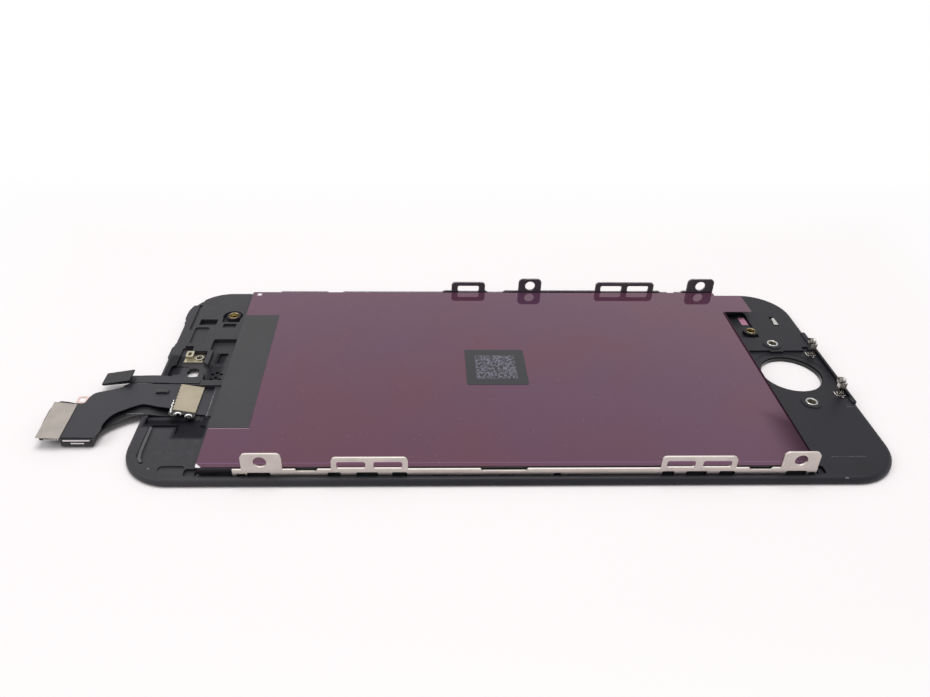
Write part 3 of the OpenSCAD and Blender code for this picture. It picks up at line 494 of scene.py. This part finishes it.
def makeInsertSteel():
    # a bright face with a little grime, and a threaded bore painted dark below its mouth: painted shade
    s = {"face": pale(192, 192, 189), "grime": pale(104, 100, 90), "bore": pale(84, 78, 66),
         "mouth": (1.59, 1.5)}
    f = Finish("insertSteel", Metallic=1.0, Roughness=0.22)
    fine = f.noise(0.12, 4, 0.6)
    grime = f.noise(0.45, 3, 0.6).softStep(0.5, 0.7)
    # painted shade down the bore
    inner = f.between(2, s["mouth"])
    f.feed("Base Color", f.mix(inner, f.mix(grime * 0.8, s["face"], s["grime"]), s["bore"]))
    f.feed("Roughness", 0.16 + fine * 0.14 + grime * 0.12)
    f.feed("Normal", f.bump(fine, 0.006, f.roundedEdges(0.05)))
    return f


def makeBrass():
    # dark rims on the faces that look up, round golden bores, which darken again further down as painted
    # shade
    s = {"gold": pale(216, 200, 152), "old": pale(160, 144, 100), "rim": pale(84, 68, 46),
         "deep": pale(40, 32, 24), "depth": (1.5, 1.2)}
    f = Finish("insertBrass", Metallic=1.0, Roughness=0.25)
    up = f.facing(2).softStep(0.6, 0.9)
    lines = f.noise(0.1, 4, 0.6)
    stain = f.noise(0.6, 3, 0.5).softStep(0.35, 0.7)
    wall = f.mix(stain * 0.6, s["gold"], s["old"])
    # painted shade: the bore darkens below its upper part
    wall = f.mix(f.between(2, s["depth"]), wall, s["deep"])
    f.feed("Base Color", f.mix(up, wall, f.mix(stain * 0.5, s["rim"], s["deep"])))
    f.feed("Roughness", 0.2 + up * 0.15 + lines * 0.1)
    f.feed("Normal", f.bump(lines, 0.004, f.roundedEdges(0.05)))
    return f


def makePlastic(name, tone, roughness, grain=0.2, depth=0.003, edge=0.05, spread=0.25):
    f = Finish(name, Roughness=roughness, Specular_IOR_Level=0.5)
    fine = f.noise(grain, 3, 0.6)
    cloud = f.noise(2.6, 3, 0.5)
    f.feed("Base Color", f.mix(cloud.softStep(0.3, 0.7), tone, scaled(tone, 1 + spread)))
    f.feed("Roughness", roughness * 0.85 + cloud * roughness * 0.3)
    f.feed("Normal", f.bump(fine, depth, f.roundedEdges(edge)))
    return f


def makeRibbon(name, tone, roughness=0.4, creaseHighlights=(), shine=0.5):
    # a flexible circuit: long copper tracks show faintly through the black cover layer
    s = {"pitch": 0.32, "bend": 0.9, "bends": 5.0, "creaseHighlight": pale(150, 150, 156), "share": 0.6}
    f = Finish(name, Roughness=roughness, Specular_IOR_Level=shine)
    x, y, z = f.axes()
    pitch = s["pitch"] * mm
    across = (y + f.noise(s["bends"], 1, 0.4) * (s["bend"] * mm)).modulo(pitch) / pitch
    track = (across - 0.5).absolute().softStep(0.32, 0.2)
    fine = f.noise(0.25, 3, 0.6)
    colour = f.mix(track * 0.25 + fine * 0.2, tone, scaled(tone, 1.35))
    # painted highlights: light lines along folds and edges of the ribbon
    for low, high in creaseHighlights:
        colour = f.mix(f.patch(low, high, 0.06) * fine.softStep(0.25, 0.5) * s["share"], colour, s["creaseHighlight"])
    f.feed("Base Color", colour)
    f.feed("Roughness", roughness * 0.85 + fine * roughness * 0.3)
    f.feed("Normal", f.bump(track * 0.5 + fine * 0.5, 0.004))
    return f


def makeLabel():
    # dark label with a plain generic grid of pale dots in its middle
    s = {"tone": pale(16, 15, 22), "dot": pale(104, 102, 118), "cell": 0.25, "half": 3.6, "empty": 0.52}
    f = Finish("darkLabel", Roughness=0.35, Specular_IOR_Level=0.5)
    x, y, z = f.axes()
    low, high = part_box("center_label")
    middle = (low + high) / 2
    cell = s["cell"] * mm
    column = ((x - middle.x) / cell).floor()
    row = ((y - middle.y) / cell).floor()
    spot = f.node("ShaderNodeCombineXYZ", {}, {0: column, 1: row})
    pick = f.node("ShaderNodeTexWhiteNoise", {"noise_dimensions": "3D"}, {"Vector": spot})
    inX = (x - middle.x).absolute() < s["half"] * mm
    inY = (y - middle.y).absolute() < s["half"] * mm
    blur = f.noise(0.5, 3, 0.6)
    mask = (pick > s["empty"]) * inX * inY * (0.45 + blur * 0.5)
    f.feed("Base Color", f.mix(mask, s["tone"], s["dot"]))
    f.feed("Roughness", 0.3 + blur * 0.1)
    return f


def makeGlassBlack():
    f = Finish("blackGlass", Base_Color=pale(10, 10, 12), Roughness=0.03, IOR=1.52)
    haze = f.noise(24.0, 3, 0.5)
    f.feed("Roughness", 0.02 + haze * 0.03)
    return f


filmPurple = makeFilm()
frameBlack = makeFrameBlack()
tapeBlack = makeTape()
# the near rail: painted highlights on its cut edges and on what faces up
railSteel = makeMetal("railSteel", pale(201, 192, 187), 0.3, stretch=(0.2, 1, 1), edge=0.04,
                      rim=pale(214, 207, 202), shelf=pale(238, 230, 222))
# painted shade: the far rail is the near rail's steel made darker, for the dark reflection its inner face
# shows, with painted edge highlights round its rim
farSteelShaded = makeMetal("farSteelShaded", pale(112, 112, 116), 0.42, stretch=(0.2, 1, 1), rim=pale(214, 206, 208))
trayDark = makeTray()
postChrome = makePostMetal()
insertSteel = makeInsertSteel()
clipSteel = makeMetal("clipSteel", pale(205, 205, 200), 0.2, grain=0.1, edge=0.06)
insertBrass = makeBrass()
shellSteel = makeMetal("shellSteel", pale(222, 218, 220), 0.4)
contactMetal = makeMetal("contactMetal", pale(196, 190, 170), 0.32)
plateSteel = makeMetal("plateSteel", pale(178, 171, 164), 0.45, stretch=(1, 0.2, 1), edge=0.04, depth=0.006)
copperBare = makeMetal("copperBare", pale(238, 212, 203), 0.4, edge=0.03)
solderBright = makeMetal("solderBright", pale(236, 236, 236), 0.22, grain=0.2, edge=0.08)
padBeige = makePlastic("padBeige", pale(156, 146, 126), 0.5, grain=0.16, depth=0.004, edge=0.03, spread=0.12)
linerPink = makePlastic("linerPink", pale(154, 106, 128), 0.3, grain=0.3, depth=0.002, edge=0.03)
connectorBlack = makePlastic("connectorBlack", pale(24, 24, 26), 0.5)
chipBlack = makePlastic("chipBlack", pale(22, 22, 24), 0.35)
glueDark = makePlastic("glueDark", pale(62, 62, 66), 0.2, grain=0.5, depth=0.02, edge=0.1)
sheetWhite = makePlastic("sheetWhite", pale(236, 236, 232), 0.6, grain=0.3, depth=0.002, edge=0.02,
                         spread=0.05)
lampYellow = makePlastic("lampYellow", pale(232, 214, 140), 0.4)
panelDark = makePlastic("panelDark", pale(60, 66, 66), 0.1, grain=0.4, depth=0.001, edge=0.02)
# each ribbon's listed light line is a painted highlight along a fold or edge
ribbonBlack = makeRibbon("ribbonBlack", pale(24, 23, 31), creaseHighlights=[((-49.85, -14.0), (-49.65, -5.9))])
ribbonGrey = makeRibbon("ribbonGrey", pale(22, 22, 26), creaseHighlights=[((-63.1, -12.12), (-60.3, -11.95))])
ribbonFlap = makeRibbon("ribbonFlap", pale(20, 20, 24), 0.34, shine=0.34)
labelDark = makeLabel()
glassBlack = makeGlassBlack()

dress(["protective_film"], filmPurple)
dress(["moulded_frame"], frameBlack)
dress(["driver_tape", "frame_adhesive"], tapeBlack)
dress(["near_rail"], railSteel)
dress(["far_rail"], farSteelShaded)
dress(["backlight_tray"], trayDark)
dress(["screw_posts"], postChrome)
dress(["steel_inserts"], insertSteel)
dress(["slot_clip"], clipSteel)
dress(["button_brass_insert", "earpiece_brass_insert"], insertBrass)
dress(["contact_plate", "contact_clip", "contact_eyelet"], contactMetal)
dress(["shield_bars"], shellSteel)
dress(["ribbon_plate"], plateSteel)
dress(["copper_ground_tab"], copperBare)
dress(["socket_solder"], solderBright)
dress(["socket_pad_cover"], padBeige)
dress(["pocket_liner"], linerPink)
dress(["socket_body", "plate_connector_body", "display_connector_body", "touch_connector_body"],
      connectorBlack)
dress(["driver_chip"], chipBlack)
dress(["glue_bead"], glueDark)
dress(["prism_sheet", "diffuser_sheet", "reflector_sheet"], sheetWhite)
dress(["led_strip"], lampYellow)
dress(["front_polarizer", "rear_polarizer", "filter_glass", "tft_glass", "light_guide", "optical_adhesive"],
      panelDark)
dress(["main_ribbon", "strip_ribbon"], ribbonBlack)
dress(["strip_flap"], ribbonFlap)
dress(["lower_ribbon"], ribbonGrey)
dress(["center_label"], labelDark)
dress(["cover_glass"], glassBlack)
print("finishes made")


def topOf(name, x, y):
    # height of a node's surface over a place in the plan, in millimetres
    node = nodes[name]
    inward = node.matrix_world.inverted()
    start = inward @ (Vector((x, y, 20)) * mm)
    hit, place, normal, face = node.ray_cast(start, inward.to_3x3() @ Vector((0, 0, -1)))
    if not hit:
        raise ValueError(f"nothing of {name} lies under {x}, {y}")
    return (node.matrix_world @ place).z / mm


def added(primitive, **settings):
    # a new primitive, as the only object selected
    bpy.ops.object.select_all(action="DESELECT")
    primitive(**settings)
    return bpy.context.active_object


def openWhole():
    # edit mode, with the whole mesh selected
    bpy.ops.object.mode_set(mode="EDIT")
    bpy.ops.mesh.select_all(action="SELECT")


def settle(piece, name, angle=35):
    # names a piece, smooths it and leaves its origin at the world's
    piece.name = piece.data.name = name
    bpy.ops.object.select_all(action="DESELECT")
    piece.select_set(True)
    bpy.context.view_layer.objects.active = piece
    bpy.ops.object.transform_apply(location=True, rotation=True, scale=True)
    bpy.ops.object.shade_smooth_by_angle(angle=math.radians(angle))
    return piece


def turnedRings(name, centre, steps, around=40, lying=False):
    # a lathed ring: a circle drawn through its steps, each a radius and a height, and back to the first
    radius, height = steps[0]
    piece = added(bpy.ops.mesh.primitive_circle_add, vertices=around, radius=radius * mm, fill_type="NOTHING",
                  location=(0, 0, height * mm))
    bpy.ops.object.transform_apply(location=True)
    openWhole()
    for nextRadius, nextHeight in steps[1:] + steps[:1]:
        rise = (0, 0, (nextHeight - height) * mm)
        bpy.ops.mesh.extrude_region_move(TRANSFORM_OT_translate={"value": rise})
        wider = nextRadius / radius
        bpy.ops.transform.resize(value=(wider, wider, 1), center_override=(0, 0, nextHeight * mm))
        radius, height = nextRadius, nextHeight
    bpy.ops.mesh.select_all(action="SELECT")
    bpy.ops.mesh.remove_doubles(threshold=0.000001)
    bpy.ops.mesh.normals_make_consistent(inside=False)
    bpy.ops.object.mode_set(mode="OBJECT")
    if lying:
        piece.rotation_euler = (0, math.radians(90), 0)
    piece.location = Vector(centre) * mm
    return settle(piece, name)


def bevelledBar(name, low, high, edge=0.04):
    # a small formed bar between two corners, its edges rounded
    piece = added(bpy.ops.mesh.primitive_cube_add, size=1)
    piece.location = (Vector(low) + Vector(high)) / 2 * mm
    piece.scale = (Vector(high) - Vector(low)) * mm
    bpy.ops.object.transform_apply(location=True, rotation=True, scale=True)
    openWhole()
    bpy.ops.mesh.bevel(offset=edge * mm, segments=2, affect="EDGES")
    bpy.ops.mesh.normals_make_consistent(inside=False)
    bpy.ops.object.mode_set(mode="OBJECT")
    return settle(piece, name)


def joined(name, parts):
    bpy.ops.object.select_all(action="DESELECT")
    for part in parts:
        part.select_set(True)
    bpy.context.view_layer.objects.active = parts[0]
    bpy.ops.object.join()
    return settle(parts[0], name)


def finishPiece(piece, finish, replaced=()):
    piece.data.materials.clear()
    piece.data.materials.append(finish.material)
    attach(piece, "root")
    if replaced:
        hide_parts(*replaced)


bpy.context.view_layer.update()


def makeThreadedInserts():
    s = {
        "x": 52.9, "y": 9.1, "bottom": 0.88, "top": 1.62, "outer": 1.05, "mouth": 0.8,
        "chamfer": (0.07, 0.08), "lead": 0.09, "crest": 0.60, "root": 0.69, "pitch": 0.16,
    }
    top, pitch = s["top"], s["pitch"]
    inward, down = s["chamfer"]
    height = top - s["lead"]
    steps = [(s["outer"], s["bottom"]), (s["outer"], top - down), (s["outer"] - inward, top),
             (s["mouth"], top), (s["root"], height)]
    while height - pitch > s["bottom"]:
        steps += [(s["crest"], height - pitch / 2), (s["root"], height - pitch)]
        height -= pitch
    steps.append((s["crest"], s["bottom"]))
    rings = [turnedRings("insert", (s["x"], side * s["y"], 0), steps) for side in (-1, 1)]
    finishPiece(joined("threadedInserts", rings), insertSteel, ["steel_inserts"])


def makeBrassCup(name, s, replaced):
    # a ring with a chamfered rim, whose bore narrows a little below the first half millimetre
    top, outer, bore = s["top"], s["outer"], s["bore"]
    steps = [(outer, s["bottom"]), (outer, top - 0.08), (outer - 0.05, top), (bore + 0.05, top),
             (bore, top - 0.06), (bore, top - 0.5), (bore - 0.04, top - 0.56), (bore - 0.04, s["bottom"])]
    finishPiece(turnedRings(name, s["place"], steps), insertBrass, replaced)


def makeScrewPosts():
    s = {
        "x": 59.2, "y": 6.2, "floor": 1.0, "barrel": 3.95, "radius": 0.6, "bore": 0.42, "reach": (-1.0, 0.1),
        # the barrel's outline: how far in from its radius and how far along, from its left and right ends
        "leftEnd": [(0, 0), (0, 0.2), (0.14, 0.24), (0.14, 0.38), (0.04, 0.42)],
        "rightEnd": [(0.04, 0.1), (0.12, 0)],
        "mouth": (0.05, 0.06), "thread": (0.05, 0.2), "exit": 0.03,
        "ribs": (-0.70, -0.38, -0.06, 0.26), "rib": 0.26, "deep": 1.0, "ribTop": 0.42,
        "web": (-0.66, 0.48), "webInset": 0.12, "webTop": 0.44,
        # thin tabs on the floor, each between two corners
        "feet": [((-1.0, -0.86), (0.8, -0.56)), ((-0.16, -1.4), (0.14, -0.7)),
                 ((-1.04, -0.7), (-0.78, 0.35))],
        "plate": 0.2,
    }
    left, right = s["reach"]
    wider, inside = s["mouth"]
    groove, pitch = s["thread"]
    rings = [(s["radius"] - inset, left + along) for inset, along in s["leftEnd"]]
    rings += [(s["radius"] - inset, right - along) for inset, along in s["rightEnd"]]
    across = right - inside
    rings += [(s["bore"] + wider, right), (s["bore"], across)]
    while across - pitch > left:
        rings += [(s["bore"] - groove, across - pitch / 2), (s["bore"], across - pitch)]
        across -= pitch
    rings.append((s["bore"] + s["exit"], left))
    x, floor, deep = s["x"], s["floor"], s["deep"] / 2
    parts = []
    for y in (-s["y"], s["y"]):
        parts.append(turnedRings("barrel", (x, y, s["barrel"]), rings, 32, lying=True))
        for rib in s["ribs"]:
            parts.append(bevelledBar("rib", (x + rib, y - deep, floor),
                                     (x + rib + s["rib"], y + deep, s["barrel"] - s["ribTop"]), 0.06))
        webDeep = deep - s["webInset"]
        parts.append(bevelledBar("web", (x + s["web"][0], y - webDeep, floor),
                                 (x + s["web"][1], y + webDeep, s["barrel"] - s["webTop"]), 0.03))
        for low, high in s["feet"]:
            parts.append(bevelledBar("foot", (x + low[0], y + low[1], floor + 0.01),
                                     (x + high[0], y + high[1], floor + s["plate"]), 0.05))
    finishPiece(joined("screwPosts", parts), postChrome, ["screw_posts"])


def makeSolder():
    # two half rings of solder by the pad, and small uneven bits on its left edge
    s = {"rings": [(-54.45, -13.0, 0.5), (-52.7, -13.12, 0.5)], "thick": 0.16, "cut": -0.05, "lift": 0.1,
         "bits": [(-55.9, -9.4, 0.14), (-55.86, -9.95, 0.2), (-55.88, -10.6, 0.22), (-55.76, -11.2, 0.16),
                  (-55.8, -11.7, 0.2), (-55.68, -12.25, 0.24)], "shape": (0.7, 1.7, 0.7), "bitLift": 0.05}
    parts = []
    for x, y, radius in s["rings"]:
        ring = added(bpy.ops.mesh.primitive_torus_add, major_radius=radius * mm, minor_radius=s["thick"] * mm,
                     major_segments=32, minor_segments=14)
        openWhole()
        bpy.ops.mesh.bisect(plane_co=(0, s["cut"] * mm, 0), plane_no=(0, 1, 0), use_fill=True,
                            clear_inner=True)
        bpy.ops.object.mode_set(mode="OBJECT")
        ring.location = Vector((x, y, topOf("socket_body", x, y + radius) + s["lift"])) * mm
        parts.append(settle(ring, "ring"))
    for i, (x, y, size) in enumerate(s["bits"]):
        bit = added(bpy.ops.mesh.primitive_uv_sphere_add, segments=16, ring_count=10, radius=size * mm)
        openWhole()
        bpy.ops.transform.resize(value=s["shape"])
        bpy.ops.transform.vertex_random(offset=0.02 * mm, seed=i + 3)
        bpy.ops.object.mode_set(mode="OBJECT")
        bit.location = Vector((x, y, topOf("socket_body", x + 0.25, y) + s["bitLift"])) * mm
        parts.append(settle(bit, "bit", 60))
    finishPiece(joined("solderFillets", parts), solderBright, ["socket_solder"])


def makeRibbonChip():
    # the small part soldered on the ribbon, with its two end caps
    s = {"low": (-59.5, -7.4), "high": (-57.3, -6.55), "tall": 0.3, "inset": (0.1, 0.05),
         "cap": 0.3, "capDrop": 0.06}
    (left, near), (right, far) = s["low"], s["high"]
    dx, dy = s["inset"]
    ground = topOf("main_ribbon", (left + right) / 2, (near + far) / 2)
    top = ground + s["tall"]
    parts = [bevelledBar("body", (left + dx, near + dy, ground), (right - dx, far - dy, top), 0.05)]
    for start, end in ((left, left + s["cap"]), (right - s["cap"], right)):
        parts.append(bevelledBar("cap", (start, near, ground), (end, far, top - s["capDrop"]), 0.05))
    finishPiece(joined("ribbonChip", parts), chipBlack)


def makePlateContacts():
    # pale solder tails along the near side of the connector under the steel plate
    s = {"x": (-74.1, -72.0), "count": 7, "wide": 0.24, "out": 0.14, "in": 0.05, "up": 0.05, "tall": 0.26}
    low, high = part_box("plate_connector_body")
    near, bottom = low.y / mm, low.z / mm + s["up"]
    first, last = s["x"]
    half = s["wide"] / 2
    parts = []
    for i in range(s["count"]):
        x = first + (last - first) * i / (s["count"] - 1)
        parts.append(bevelledBar("tail", (x - half, near - s["out"], bottom),
                                 (x + half, near + s["in"], bottom + s["tall"])))
    finishPiece(joined("plateContacts", parts), shellSteel)


def makeRibbonBridge():
    # the dark cover layer that ties the strip to the main ribbon's far edge
    s = {"x": (-64.95, -60.0), "y": (-5.3, -3.95), "thick": 0.1, "under": 0.34}
    (left, right), (near, far) = s["x"], s["y"]
    top = topOf("main_ribbon", (left + right) / 2, near - 0.1) - s["under"]
    piece = bevelledBar("ribbonBridge", (left, near, top - s["thick"]), (right, far, top), 0.03)
    finishPiece(piece, ribbonFlap)


makeThreadedInserts()
makeBrassCup("buttonBrassCup", {
    "place": (50.16, 13.3, 0), "outer": 0.95, "bore": 0.7, "bottom": 0.88, "top": 1.8,
}, ["button_brass_insert"])
makeBrassCup("earpieceBrassCup", {
    "place": (-51.1, 18.45, 0), "outer": 1.05, "bore": 0.8, "bottom": 0.88, "top": 2.0,
}, ["earpiece_brass_insert"])
makeScrewPosts()
makeSolder()
makeRibbonChip()
makePlateContacts()
makeRibbonBridge()
print("small pieces made")
